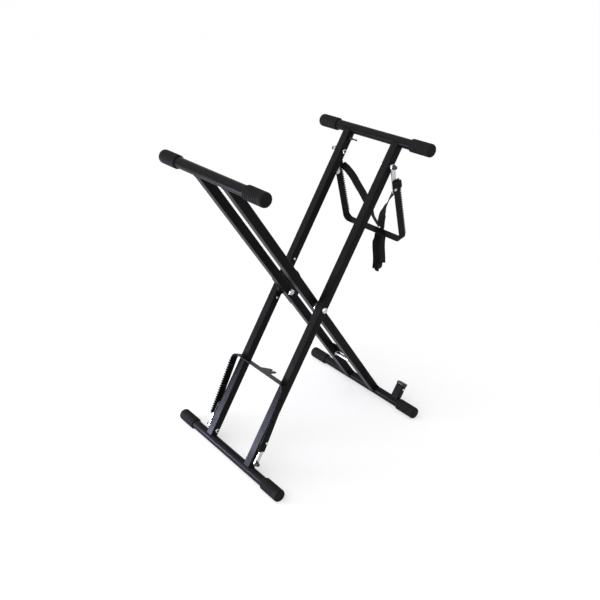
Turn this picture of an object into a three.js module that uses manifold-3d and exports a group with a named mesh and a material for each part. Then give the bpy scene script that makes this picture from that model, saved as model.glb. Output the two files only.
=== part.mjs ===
// Folding X-shaped stand: two welded tube frames cross at a bolted pivot, and each end of the outer
// frame carries a toothed U rack. Millimetres, +Z up, +Y along the cross bars.
import * as THREE from "three";
import { mergeVertices } from "three/addons/utils/BufferGeometryUtils.js";
import Module from "manifold-3d";

const wasm = await Module();
wasm.setup();

// ---- Driving dimensions ----
const LEAN = THREE.MathUtils.degToRad(33.2); // each frame from the vertical, stand open
const BAR_TO_BAR = 1000; // along a tube, between the axes of its two cross bars
const TUBE = { size: 25, wall: 1.6, corner: 2.5 };
const BAR = { radius: 14, wall: 1.6 };
const CAP = { radius: 18, length: 70, end: 6.5, chamfer: 4, rounding: 4.5 };
const TOP_BAR_LENGTH = 420; // over its end caps
const FOOT_BAR_LENGTH = 476;
const OUTER_TUBE_Y = 92; // outer frame's tube axes at +Y and -Y
const INNER_TUBE_FAR_Y = 53; // inner frame's tubes sit a little off centre
const INNER_TUBE_NEAR_Y = -61.5;
const TOUCH = 0.3; // gap where two faces touch
const CLEAR = 0.3; // running clearance of a bolt in its hole

const PIVOT_BOLT_RADIUS = 5;
const STOP = { orbit: 48, radius: 4, slotRadius: 4.6, disc: 64, thickness: 4 };
const FOLD_RANGE = THREE.MathUtils.degToRad(62);

const RACK = {
  legY: 116, // middle of a leg's thickness
  thickness: 3,
  plain: 10.7, // plain edge, from the line between hinge and crosspiece
  root: 13.8, // foot of the teeth, the other way
  tip: 16.5, // point of the teeth
  start: 39, // where the leg starts, from the hinge
  end: 241, // outer face of the crosspiece
  bend: 20, // outer radius of the two corners
  teeth: 24,
  pitch: 7.5,
  firstTooth: 44,
};
const RACK_HOLES = { radius: 3, offset: 5.7, at: [66, 132, 198] };
const HINGE_BOLT_RADIUS = 4;
const UPPER_HINGE = 430; // along the outer frame, from the pivot
const LOWER_HINGE = -472;
const UPPER_HANG = THREE.MathUtils.degToRad(14); // upper rack's legs from the vertical
const LOWER_LEAN = THREE.MathUtils.degToRad(5.6); // lower rack's legs from its tubes

const STRAP = { width: 22, thickness: 1.8 };

// ---- Finishes ----
const BLACK_STEEL = { color: 0x2a2a2c, roughness: 0.35, metalness: 0.1 };
const BLACK_RUBBER = { color: 0x1c1c1d, roughness: 0.7, metalness: 0 };
const ZINC = { color: 0xc3c6c8, roughness: 0.3, metalness: 1 };
const WEBBING = { color: 0x1b1b1d, roughness: 0.9, metalness: 0 };

// ---- Helpers ----
function mesh(name, geometry, finish) {
  const part = new THREE.Mesh(geometry, new THREE.MeshStandardMaterial(finish));
  part.name = name;
  return part;
}

// A closed solid from a geometry, turned inside out if its faces point in.
function solid(geometry) {
  const bare = geometry.index ? geometry.toNonIndexed() : geometry.clone();
  bare.deleteAttribute("normal");
  bare.deleteAttribute("uv");
  const merged = mergeVertices(bare, 1e-4);
  const triangles = Uint32Array.from(merged.index.array);
  const points = merged.attributes.position.array;
  if (signedVolume(points, triangles) < 0) {
    for (let i = 0; i < triangles.length; i += 3) {
      [triangles[i], triangles[i + 1]] = [triangles[i + 1], triangles[i]];
    }
  }
  const vertProperties = Float32Array.from(points);
  return new wasm.Manifold(new wasm.Mesh({ numProp: 3, vertProperties, triVerts: triangles }));
}

function signedVolume(points, triangles) {
  const a = new THREE.Vector3();
  const b = new THREE.Vector3();
  const c = new THREE.Vector3();
  let six = 0;
  for (let i = 0; i < triangles.length; i += 3) {
    a.fromArray(points, 3 * triangles[i]);
    b.fromArray(points, 3 * triangles[i + 1]);
    c.fromArray(points, 3 * triangles[i + 2]);
    six += a.dot(b.cross(c));
  }
  return six;
}

function surface(body) {
  const { vertProperties, triVerts } = body.getMesh();
  const geometry = new THREE.BufferGeometry();
  geometry.setAttribute("position", new THREE.BufferAttribute(Float32Array.from(vertProperties), 3));
  geometry.setIndex(new THREE.BufferAttribute(Uint32Array.from(triVerts), 1));
  geometry.computeVertexNormals();
  return geometry;
}

// The first geometry, with the others joined to it.
function joined(first, ...others) {
  const whole = others.reduce((body, other) => body.add(solid(other)), solid(first));
  return surface(whole);
}

// The first geometry, with the others cut out of it.
function cut(first, ...others) {
  const rest = others.reduce((body, other) => body.subtract(solid(other)), solid(first));
  return surface(rest);
}

// A round rod along Y through (x, z).
function rod(radius, yLow, yHigh, x = 0, z = 0, sides = 20) {
  const geometry = new THREE.CylinderGeometry(radius, radius, yHigh - yLow, sides);
  return geometry.translate(x, (yLow + yHigh) / 2, z);
}

// A hexagonal rod along Y, as a nut or a bolt head.
function hexagon(acrossFlats, yLow, yHigh) {
  return rod(acrossFlats / Math.sqrt(3), yLow, yHigh, 0, 0, 6);
}

// A turned piece about Y from [radius, y] pairs.
function turned(profile, sides = 28, start = 0) {
  return new THREE.LatheGeometry(profile.map(([r, y]) => new THREE.Vector2(r, y)), sides, start);
}

// A shape drawn in X and Z, as a plate between two heights on Y.
function plateAlongY(shape, yLow, yHigh, curveSegments = 12) {
  const options = { depth: yHigh - yLow, bevelEnabled: false, curveSegments };
  return new THREE.ExtrudeGeometry(shape, options).rotateX(Math.PI / 2).translate(0, yHigh, 0);
}

// A shape drawn in Y and Z, as a plate between two places on X.
function plateAlongX(shape, xLow, xHigh, curveSegments = 12) {
  const options = { depth: xHigh - xLow, bevelEnabled: false, curveSegments };
  const turn = new THREE.Matrix4().makeBasis(
    new THREE.Vector3(0, 1, 0),
    new THREE.Vector3(0, 0, 1),
    new THREE.Vector3(1, 0, 0),
  );
  return new THREE.ExtrudeGeometry(shape, options).applyMatrix4(turn).translate(xLow, 0, 0);
}

function roundedRectangle(path, width, height, radius) {
  const x = width / 2 - radius;
  const y = height / 2 - radius;
  path.absarc(x, y, radius, 0, Math.PI / 2);
  path.absarc(-x, y, radius, Math.PI / 2, Math.PI);
  path.absarc(-x, -y, radius, Math.PI, 1.5 * Math.PI);
  path.absarc(x, -y, radius, 1.5 * Math.PI, 2 * Math.PI);
  path.closePath();
  return path;
}

function polygon(points) {
  return new THREE.Shape(points.map(([x, y]) => new THREE.Vector2(x, y)));
}

// ---- Frame tubes and bars ----
// Square tube along Z with both ends saddled on to the cross bars. Each hole is [radius, z].
function frameTube(y, holes) {
  const { size, wall, corner } = TUBE;
  const outline = roundedRectangle(new THREE.Shape(), size, size, corner);
  outline.holes.push(roundedRectangle(new THREE.Path(), size - 2 * wall, size - 2 * wall, corner - wall));
  const saddle = BAR.radius + TOUCH;
  const half = BAR_TO_BAR / 2;
  const length = 2 * (half - Math.sqrt(saddle ** 2 - (size / 2) ** 2) - 0.2);
  const options = { depth: length, bevelEnabled: false, curveSegments: 3 };
  const blank = new THREE.ExtrudeGeometry(outline, options).translate(0, 0, -length / 2);
  const cutters = [half, -half].map((z) => rod(saddle, -size, size, 0, z, 48));
  for (const [radius, z] of holes) {
    cutters.push(rod(radius, -size, size, 0, z));
  }
  return cut(blank, ...cutters).translate(0, y, 0);
}

function crossBar(overCaps) {
  const half = overCaps / 2 - CAP.end - TOUCH;
  const inner = BAR.radius - BAR.wall;
  return turned([[inner, -half], [BAR.radius, -half], [BAR.radius, half], [inner, half], [inner, -half]]);
}

// End cap at the bar's +Y end. One of its facets lies flat below, where it stands, and one above.
function endCap(overCaps) {
  const { radius, length, end, chamfer, rounding } = CAP;
  const bore = BAR.radius + TOUCH;
  const profile = [[0, length - end], [bore, length - end], [bore, 0], [radius - chamfer / 2, 0], [radius, chamfer]];
  for (let step = 0; step <= 3; step++) {
    const angle = (step * Math.PI) / 6;
    profile.push([
      radius - rounding * (1 - Math.cos(angle)),
      length - rounding * (1 - Math.sin(angle)),
    ]);
  }
  profile.push([0, length]);
  const sides = 28;
  const overFlats = 1 / Math.cos(Math.PI / sides);
  const cap = turned(profile, sides, Math.PI / sides).scale(overFlats, 1, overFlats);
  return cap.translate(0, overCaps / 2 - length, 0);
}

// A bar and its two caps at a tube end. The caps stay upright so that they stand on one line.
function addBar(frame, name, z, overCaps, lean) {
  const bar = mesh(`${name}_bar`, crossBar(overCaps), BLACK_STEEL);
  const far = mesh(`${name}_cap_far`, endCap(overCaps), BLACK_RUBBER);
  const near = mesh(`${name}_cap_near`, endCap(overCaps).rotateZ(Math.PI), BLACK_RUBBER);
  for (const part of [bar, far, near]) {
    part.position.z = z;
    part.rotation.y = -lean;
    frame.add(part);
  }
}

// ---- Pivot ----
const outerFace = (y) => Math.abs(y) + TUBE.size / 2;
const innerFace = (y) => Math.abs(y) - TUBE.size / 2;

// Bolt along Y from a low domed head at one end to a plain end, and the nut that sits on it.
function pivotBolt(headY, endY, headHeight) {
  const outward = Math.sign(headY - endY);
  const head = turned([[0, 0], [9, 0], [9, 2], [7, headHeight - 1], [4, headHeight], [0, headHeight]], 24);
  if (outward < 0) {
    head.rotateX(Math.PI);
  }
  const [low, high] = [Math.min(headY, endY), Math.max(headY, endY)];
  return joined(head.translate(0, headY + outward * TOUCH, 0), rod(PIVOT_BOLT_RADIUS, low - 1, high + 0.5));
}

function nut(acrossFlats, hole, yLow, yHigh) {
  return cut(hexagon(acrossFlats, yLow, yHigh), rod(hole, yLow - 1, yHigh + 1));
}

function washer(radius, hole, yLow, yHigh) {
  return cut(rod(radius, yLow, yHigh), rod(hole, yLow - 1, yHigh + 1));
}

// Half disc on the inner frame with an arc slot: the stop bolt of the outer frame runs in it, and
// the two ends of the slot are the open and the folded stop.
function stopDisc() {
  const { orbit, slotRadius, disc, thickness } = STOP;
  const edge = -TUBE.size / 2;
  const corner = Math.acos(edge / disc);
  const outline = new THREE.Shape();
  outline.absarc(0, 0, disc, -corner, corner);
  outline.closePath();
  const slot = new THREE.Path();
  const open = Math.PI / 2 - 2 * LEAN;
  const folded = open + FOLD_RANGE;
  const end = (angle) => [orbit * Math.cos(angle), orbit * Math.sin(angle)];
  slot.absarc(0, 0, orbit + slotRadius, open, folded);
  slot.absarc(...end(folded), slotRadius, folded, folded + Math.PI);
  slot.absarc(0, 0, orbit - slotRadius, folded, open, true);
  slot.absarc(...end(open), slotRadius, open + Math.PI, open + 2 * Math.PI);
  outline.holes.push(slot);
  const yLow = outerFace(INNER_TUBE_FAR_Y) + TOUCH;
  const plate = plateAlongY(outline, yLow, yLow + thickness, 16);
  const boss = rod(18, yLow, innerFace(OUTER_TUBE_Y) - TOUCH, 0, 0, 32);
  return cut(joined(plate, boss), rod(PIVOT_BOLT_RADIUS + CLEAR, 0, 200));
}

function stopBolt() {
  const yEnd = outerFace(INNER_TUBE_FAR_Y) + TOUCH;
  const head = rod(7, outerFace(OUTER_TUBE_Y) + TOUCH, outerFace(OUTER_TUBE_Y) + 3);
  const shaft = rod(STOP.radius, yEnd, outerFace(OUTER_TUBE_Y) + 1);
  return joined(head, shaft).translate(0, 0, STOP.orbit);
}

// Rivet end that shows on the inner face of the far outer tube.
function tubeRivet(z) {
  const face = innerFace(OUTER_TUBE_Y);
  const head = turned([[0, -2.5], [2, -2.2], [3.6, -1], [4, 0], [0, 0]], 16).translate(0, face - TOUCH, 0);
  return joined(head, rod(2, face - 1, face + TUBE.wall + 1, 0, 0, 12)).translate(0, 0, z);
}

// ---- Toothed racks ----
// Frame of one rack: hinge on Y through the origin, legs up Z, plain edge at +X, teeth at -X.
function rackStrip(withTongue) {
  const { legY, thickness, plain, root, end, start, bend } = RACK;
  const outer = legY + thickness / 2;
  const inner = outer - thickness;
  const outline = new THREE.Shape();
  outline.moveTo(outer, start);
  outline.absarc(outer - bend, end - bend, bend, 0, Math.PI / 2);
  outline.absarc(-(outer - bend), end - bend, bend, Math.PI / 2, Math.PI);
  outline.lineTo(-outer, start);
  outline.lineTo(-inner, start);
  outline.absarc(-(outer - bend), end - bend, bend - thickness, Math.PI, Math.PI / 2, true);
  outline.absarc(outer - bend, end - bend, bend - thickness, Math.PI / 2, 0, true);
  outline.lineTo(inner, start);
  outline.closePath();
  const strip = plateAlongX(outline, -root, plain, 8);
  const pieces = [toothComb(inner, outer), toothComb(-outer, -inner)];
  if (withTongue) {
    pieces.push(tongue());
  }
  const holes = RACK_HOLES.at.map((z) => rod(RACK_HOLES.radius, -outer - 1, outer + 1, RACK_HOLES.offset, z, 20));
  return cut(joined(strip, ...pieces), ...holes);
}

function toothComb(yLow, yHigh) {
  const { root, tip, pitch, teeth, firstTooth } = RACK;
  const buried = 2;
  const points = [[-root + buried, firstTooth]];
  for (let tooth = 0; tooth < teeth; tooth++) {
    const z = firstTooth + tooth * pitch;
    points.push([-root, z + 0.5], [-tip, z + 0.4 * pitch], [-tip, z + 0.6 * pitch], [-root, z + pitch - 0.5]);
  }
  points.push([-root + buried, firstTooth + teeth * pitch]);
  return plateAlongY(polygon(points), yLow, yHigh);
}

// Forked tongue from the middle of the crosspiece's plain edge.
const TONGUE = { middle: -9, root: 21, tip: 13, reach: 36, fork: 4, depth: 14 };

function tongue() {
  const { middle, root, tip, reach, fork, depth } = TONGUE;
  const { plain, end, thickness } = RACK;
  const buried = plain - 1;
  const outline = polygon([
    [buried, -root], [plain + reach, -tip], [plain + reach, -fork], [plain + reach - depth, -fork],
    [plain + reach - depth, fork], [plain + reach, fork], [plain + reach, tip], [buried, root],
  ]);
  const options = { depth: thickness, bevelEnabled: false };
  return new THREE.ExtrudeGeometry(outline, options).translate(0, middle, end - thickness);
}

// Link from the hinge bolt to the rivet in the leg's first hole, on the leg's inner face.
function hingeLink(side) {
  const radius = 8;
  const [x, z] = [RACK_HOLES.offset, RACK_HOLES.at[0] + 6];
  const tilt = Math.atan2(x, z);
  const outline = new THREE.Shape();
  outline.absarc(x, z, radius, -tilt, Math.PI - tilt);
  outline.absarc(0, 0, radius, Math.PI - tilt, 2 * Math.PI - tilt);
  outline.closePath();
  const yHigh = RACK.legY - RACK.thickness / 2 - TOUCH;
  const plate = plateAlongY(outline, yHigh - RACK.thickness, yHigh, 7);
  const bolt = rod(HINGE_BOLT_RADIUS + CLEAR, 0, 200);
  const rivet = rod(2.6 + 0.05, 0, 200, RACK_HOLES.offset, RACK_HOLES.at[0]);
  return turnedToSide(cut(plate, bolt, rivet), side);
}

function linkRivet(side) {
  const low = RACK.legY - RACK.thickness / 2 - TOUCH - RACK.thickness;
  const high = RACK.legY + RACK.thickness / 2;
  const head = [[0, 0], [4.6, 0], [4.2, 1.2], [2.5, 2.1], [0, 2.3]];
  const outside = turned(head, 12).translate(0, high + TOUCH, 0);
  const inside = turned(head, 12).rotateX(Math.PI).translate(0, low - TOUCH, 0);
  const body = joined(outside, inside, rod(2.5, low - 1, high + 1, 0, 0, 12));
  return turnedToSide(body.translate(RACK_HOLES.offset, 0, RACK_HOLES.at[0]), side);
}

// A piece made for the +Y side, mirrored to -Y where side is -1.
function turnedToSide(geometry, side) {
  if (side > 0) {
    return geometry;
  }
  return surface(solid(geometry.scale(1, -1, 1)));
}

// Hinge bolt of a rack: black domed head outside the link, thread end inside the tube.
function hingeBolt(side) {
  const linkFace = RACK.legY - RACK.thickness / 2 - TOUCH;
  const head = turned([[0, 0], [7, 0], [7, 3], [5, 4.5], [5, 9], [3.5, 10.5], [0, 10.5]], 16);
  const shaft = rod(HINGE_BOLT_RADIUS, innerFace(OUTER_TUBE_Y) - 7.5, linkFace + 2, 0, 0, 16);
  return turnedToSide(joined(head.translate(0, linkFace + TOUCH, 0), shaft), side);
}

function hingeSpacer(side) {
  const low = outerFace(OUTER_TUBE_Y) + TOUCH;
  const high = RACK.legY - RACK.thickness / 2 - TOUCH - RACK.thickness - TOUCH;
  return turnedToSide(washer(6.5, HINGE_BOLT_RADIUS + CLEAR, low, high), side);
}

function hingeNut(side) {
  const high = innerFace(OUTER_TUBE_Y) - TOUCH;
  return turnedToSide(nut(12, HINGE_BOLT_RADIUS + 0.05, high - 6, high), side);
}

// ---- Strap on the upper rack: the run to each leg, and the surplus folded below ----
// A flat band along a line in Y and Z, its width square to that line and its thickness along X.
function band(centreLine, xLow, width, thickness) {
  const line = new THREE.CatmullRomCurve3(centreLine.map(([y, z]) => new THREE.Vector3(0, y, z)));
  const steps = 14;
  const left = [];
  const right = [];
  for (let i = 0; i <= steps; i++) {
    const at = line.getPoint(i / steps);
    const along = line.getTangent(i / steps);
    left.push([at.y - (along.z * width) / 2, at.z + (along.y * width) / 2]);
    right.unshift([at.y + (along.z * width) / 2, at.z - (along.y * width) / 2]);
  }
  return plateAlongX(polygon([...left, ...right]), xLow, xLow + thickness);
}

// The surplus: a neck over the crosspiece's toothed side, then folds that hang straight down,
// side by side along Y. Made in the rack's frame, from the neck's lower end.
const BUNDLE = { neckY: -20, neck: 21.5, folds: 5, pitch: 3.6, width: 28, longest: 116, step: 9 };

function strapBundle(neckX) {
  const { neckY, neck, folds, pitch, width, longest, step } = BUNDLE;
  const top = 3;
  const line = [];
  for (let fold = 0; fold < folds; fold++) {
    const y = neckY - 6 - fold * pitch;
    const bottom = longest - step * Math.abs(fold - 1);
    line.push(...(fold % 2 === 0 ? [[y, top], [y, bottom]] : [[y, bottom], [y, top]]));
  }
  for (let i = 1; i < line.length - 1; i += 2) {
    const reach = i % 4 === 1 ? Math.max(line[i][1], line[i + 1][1]) : top;
    line[i][1] = reach;
    line[i + 1][1] = reach;
  }
  const stack = plateAlongX(serpentine(line, STRAP.thickness / 2), 0, width).rotateY(UPPER_HANG);
  const strip = new THREE.BoxGeometry(STRAP.thickness, 24, neck);
  strip.translate(STRAP.thickness / 2, neckY, 6 - neck / 2);
  return joined(stack, strip).translate(neckX, 0, RACK.end + 10);
}

// Outline of a band of half thickness h that runs through points joined by square turns.
function serpentine(points, h) {
  const left = [];
  const right = [];
  for (let i = 0; i < points.length; i++) {
    const before = points[Math.max(i - 1, 0)];
    const after = points[Math.min(i + 1, points.length - 1)];
    const inward = direction(before, points[i]) ?? direction(points[i], after);
    const outward = direction(points[i], after) ?? inward;
    const shift = [
      -(inward[1] + (inward[1] === outward[1] ? 0 : outward[1])) * h,
      (inward[0] + (inward[0] === outward[0] ? 0 : outward[0])) * h,
    ];
    left.push([points[i][0] + shift[0], points[i][1] + shift[1]]);
    right.unshift([points[i][0] - shift[0], points[i][1] - shift[1]]);
  }
  return polygon([...left, ...right]);
}

function direction([x0, y0], [x1, y1]) {
  const length = Math.hypot(x1 - x0, y1 - y0);
  return length === 0 ? null : [(x1 - x0) / length, (y1 - y0) / length];
}

// ---- Small pieces ----
function tiePlate() {
  const { size } = TUBE;
  const low = INNER_TUBE_NEAR_Y + size / 2 + TOUCH;
  const high = INNER_TUBE_FAR_Y - size / 2 - TOUCH;
  return new THREE.BoxGeometry(3, high - low, 50).translate(size / 2 - 2, (low + high) / 2, -330);
}

function tieBolt() {
  const low = INNER_TUBE_NEAR_Y + TUBE.size / 2 + TOUCH;
  const high = INNER_TUBE_FAR_Y - TUBE.size / 2 - TOUCH;
  const ends = [hexagon(14, low, low + 5), hexagon(14, high - 5, high)];
  return joined(rod(5.5, low + 1, high - 1), ...ends).translate(0, 0, -347);
}

function restStub() {
  const outline = roundedRectangle(new THREE.Shape(), 20, 28, 2.5);
  outline.holes.push(roundedRectangle(new THREE.Path(), 16.8, 24.8, 1));
  const options = { depth: 52, bevelEnabled: false, curveSegments: 3 };
  const blank = new THREE.ExtrudeGeometry(outline, options).translate(0, -148, 4);
  const screwHole = rod(2.6, -165, -150, 0, 46, 16);
  return cut(blank, rod(BAR.radius + TOUCH, -200, -100, 0, 0, 48), screwHole);
}

function stubPlug() {
  const outline = roundedRectangle(new THREE.Shape(), 20, 28, 4);
  const options = {
    depth: 4, bevelEnabled: true, bevelThickness: 3, bevelSize: 2, bevelOffset: -0.5, bevelSegments: 3,
    curveSegments: 4,
  };
  return new THREE.ExtrudeGeometry(outline, options).translate(0, -148, 56 + 3 + TOUCH);
}

function stubScrew() {
  const face = -148 - 14;
  const head = turned([[0, 0], [4.5, 0], [4, 1.8], [2, 2.6], [0, 2.6]], 16).rotateX(Math.PI);
  return joined(head.translate(0, face - TOUCH, 0), rod(2.3, face - 1, face + 8, 0, 0, 12)).translate(0, 0, 46);
}

function peg() {
  const face = innerFace(OUTER_TUBE_Y) - TOUCH;
  const profile = [[0, -20], [4, -20], [5.5, -18.5], [5.5, -15], [4, -14], [4, 0], [0, 0]];
  return turned(profile, 20).translate(0, face, 470);
}

// ---- Assembly ----
const stand = new THREE.Group();
const pivotHeight = (BAR_TO_BAR / 2) * Math.cos(LEAN) + CAP.radius;

const outerFrame = new THREE.Group();
outerFrame.position.z = pivotHeight;
outerFrame.rotation.y = LEAN;
stand.add(outerFrame);

const innerFrame = new THREE.Group();
innerFrame.position.z = pivotHeight;
innerFrame.rotation.y = -LEAN;
stand.add(innerFrame);

const pivotHole = [PIVOT_BOLT_RADIUS + CLEAR, 0];
const hingeHoles = [UPPER_HINGE, LOWER_HINGE].map((z) => [HINGE_BOLT_RADIUS + CLEAR, z]);
const stopHole = [STOP.radius + CLEAR, STOP.orbit];
const rivetHoles = [90, -34].map((z) => [2.3, z]);

const farHoles = [pivotHole, ...hingeHoles, stopHole, ...rivetHoles];
outerFrame.add(mesh("outer_tube_far", frameTube(OUTER_TUBE_Y, farHoles), BLACK_STEEL));
outerFrame.add(mesh("outer_tube_near", frameTube(-OUTER_TUBE_Y, [pivotHole, ...hingeHoles]), BLACK_STEEL));
innerFrame.add(mesh("inner_tube_far", frameTube(INNER_TUBE_FAR_Y, [pivotHole]), BLACK_STEEL));
innerFrame.add(mesh("inner_tube_near", frameTube(INNER_TUBE_NEAR_Y, [pivotHole]), BLACK_STEEL));
addBar(outerFrame, "outer_top", BAR_TO_BAR / 2, TOP_BAR_LENGTH, LEAN);
addBar(outerFrame, "outer_foot", -BAR_TO_BAR / 2, FOOT_BAR_LENGTH, LEAN);
addBar(innerFrame, "inner_top", BAR_TO_BAR / 2, TOP_BAR_LENGTH, -LEAN);
addBar(innerFrame, "inner_foot", -BAR_TO_BAR / 2, FOOT_BAR_LENGTH, -LEAN);

// Far pivot: head outside the outer tube, disc with boss between, nut inside the inner tube.
const farHead = outerFace(OUTER_TUBE_Y);
const farNut = innerFace(INNER_TUBE_FAR_Y);
outerFrame.add(mesh("pivot_bolt_far", pivotBolt(farHead, farNut - 9, 4), ZINC));
outerFrame.add(mesh("pivot_nut_far", nut(16, PIVOT_BOLT_RADIUS + 0.05, farNut - 7.5, farNut - TOUCH), ZINC));
innerFrame.add(mesh("stop_disc", stopDisc(), BLACK_STEEL));
outerFrame.add(mesh("stop_bolt", stopBolt(), BLACK_STEEL));
outerFrame.add(mesh("tube_rivet_upper", tubeRivet(90), ZINC));
outerFrame.add(mesh("tube_rivet_lower", tubeRivet(-34), ZINC));

// Near pivot: head outside the outer tube, one thick washer between, nut inside the inner tube.
const nearHead = -outerFace(OUTER_TUBE_Y);
const nearNut = -innerFace(INNER_TUBE_NEAR_Y);
const nearGap = [-innerFace(OUTER_TUBE_Y) + TOUCH, -outerFace(INNER_TUBE_NEAR_Y) - TOUCH];
outerFrame.add(mesh("pivot_bolt_near", pivotBolt(nearHead, nearNut + 9, 8), ZINC));
outerFrame.add(mesh("pivot_washer_near", washer(13, PIVOT_BOLT_RADIUS + CLEAR, ...nearGap), ZINC));
outerFrame.add(mesh("pivot_nut_near", nut(16, PIVOT_BOLT_RADIUS + 0.05, nearNut + TOUCH, nearNut + 7.5), ZINC));

innerFrame.add(mesh("tie_plate", tiePlate(), BLACK_STEEL));
innerFrame.add(mesh("tie_bolt", tieBolt(), ZINC));
outerFrame.add(mesh("cable_peg", peg(), BLACK_RUBBER));

const stub = new THREE.Group();
stub.position.z = -BAR_TO_BAR / 2;
stub.rotation.y = 2 * LEAN;
stub.add(mesh("rest_stub", restStub(), BLACK_STEEL));
stub.add(mesh("rest_stub_plug", stubPlug(), BLACK_RUBBER));
stub.add(mesh("rest_stub_screw", stubScrew(), ZINC));
innerFrame.add(stub);

// A rack with its links and rivets turns about the hinge bolts, which stay in the tubes.
function addRack(name, hinge, turn, withTongue) {
  const rack = new THREE.Group();
  rack.position.z = hinge;
  rack.rotation.y = turn;
  rack.add(mesh(`${name}_rack`, rackStrip(withTongue), BLACK_STEEL));
  outerFrame.add(rack);
  for (const [end, side] of [["far", 1], ["near", -1]]) {
    rack.add(mesh(`${name}_link_${end}`, hingeLink(side), ZINC));
    rack.add(mesh(`${name}_rivet_${end}`, linkRivet(side), ZINC));
    const fixed = [
      mesh(`${name}_hinge_bolt_${end}`, hingeBolt(side), BLACK_STEEL),
      mesh(`${name}_hinge_spacer_${end}`, hingeSpacer(side), ZINC),
      mesh(`${name}_hinge_nut_${end}`, hingeNut(side), ZINC),
    ];
    for (const part of fixed) {
      part.position.z = hinge;
      outerFrame.add(part);
    }
  }
  return rack;
}

addRack("lower", LOWER_HINGE, -LOWER_LEAN, true);
const upperRack = addRack("upper", UPPER_HINGE, Math.PI - UPPER_HANG - LEAN, false);

const strapPlane = -RACK.tip - 0.5 - STRAP.thickness;
const farRun = [[112, 52], [89, 40], [52, 60], [16, 126], [2, 190], [-4, 232]];
const nearRun = [[-112, 60], [-98, 85], [-64, 147], [-34, 215], [-31, 232]];
upperRack.add(mesh("strap_far", band(farRun, strapPlane, STRAP.width, STRAP.thickness), WEBBING));
upperRack.add(mesh("strap_near", band(nearRun, strapPlane, STRAP.width, STRAP.thickness), WEBBING));

upperRack.add(mesh("strap_bundle", strapBundle(strapPlane), WEBBING));

// The origin is under the middle of the stand's box.
stand.updateMatrixWorld(true);
const box = new THREE.Box3().setFromObject(stand, true);
stand.position.x = -Math.round(5 * (box.min.x + box.max.x)) / 10;

export default stand;
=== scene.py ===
# %% [markdown]
# # A folding keyboard stand
# Two welded frames of square tube cross at a bolted pivot, and two toothed U racks hang from one
# of them. Almost all of it is black: powder coat on steel, rubber on the caps, webbing for the
# strap. What tells these blacks apart is how rough they are and how light rolls over their
# edges, so the lesson builds every edge round and then spends its effort on the finishes.
#
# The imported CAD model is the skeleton. It is loaded first and never moved: each smooth piece
# below rides on the same moving body and stands where the CAD has its plain one. The strap departs
# from its solids, because its runs and folds follow the photograph, and the peg and teeth are longer.

# %% Load the frame
import math
import random
import bpy
from mathutils import Matrix, Vector


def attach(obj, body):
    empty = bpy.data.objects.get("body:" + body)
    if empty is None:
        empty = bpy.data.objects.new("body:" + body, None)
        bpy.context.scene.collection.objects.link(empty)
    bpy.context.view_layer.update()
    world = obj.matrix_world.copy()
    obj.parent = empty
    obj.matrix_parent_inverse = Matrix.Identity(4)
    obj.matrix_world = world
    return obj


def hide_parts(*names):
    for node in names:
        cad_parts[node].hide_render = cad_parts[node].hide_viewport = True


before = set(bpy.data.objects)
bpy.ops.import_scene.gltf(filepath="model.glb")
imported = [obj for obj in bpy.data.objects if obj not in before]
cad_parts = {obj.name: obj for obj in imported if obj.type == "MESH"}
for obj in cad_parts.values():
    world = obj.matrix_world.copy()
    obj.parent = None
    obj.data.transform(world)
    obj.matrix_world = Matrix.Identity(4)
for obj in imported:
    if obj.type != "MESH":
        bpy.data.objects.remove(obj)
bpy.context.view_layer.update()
MM = 0.001

# %% [markdown]
# ## The camera
# The photograph looks down on the stand from its front left. The lens and the place were worked
# out from the ends of the four cross bars, which are known points of the CAD model.

# %% Camera
lens = bpy.data.cameras.new("camera")
lens.lens, lens.sensor_width = 42.15, 36
camera = bpy.data.objects.new("camera", lens)
camera.location = Vector((-1162.7, -1333.2, 1396.0)) * MM
look = Vector((0.57208, 0.66272, -0.48266))
camera.rotation_euler = look.to_track_quat("-Z", "Y").to_euler()
bpy.context.scene.collection.objects.link(camera)
bpy.context.scene.camera = camera
bpy.context.scene.view_settings.view_transform = "Standard"

# %% [markdown]
# ## Shader maths as Python
# A finish is mostly arithmetic on noise: "rougher where it is worn". Wiring Math nodes by hand
# hides that, so one small class wraps a socket and lets `1 - mask * 0.3` add its own nodes.
# Colours and vectors can't go through Math nodes, which turn them grey, so they are mixed
# with Mix and Vector Math nodes, made like any other node by `node`.

# %% A finish and its sockets
class Value:
    def __init__(self, finish, socket):
        self.finish, self.socket = finish, socket

    def maths(self, operation, first, second):
        return self.finish.node("ShaderNodeMath", {"operation": operation}, {0: first, 1: second})[0]

    def __add__(self, other): return self.maths("ADD", self, other)
    def __radd__(self, other): return self.maths("ADD", other, self)
    def __rsub__(self, other): return self.maths("SUBTRACT", other, self)
    def __mul__(self, other): return self.maths("MULTIPLY", self, other)


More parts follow.
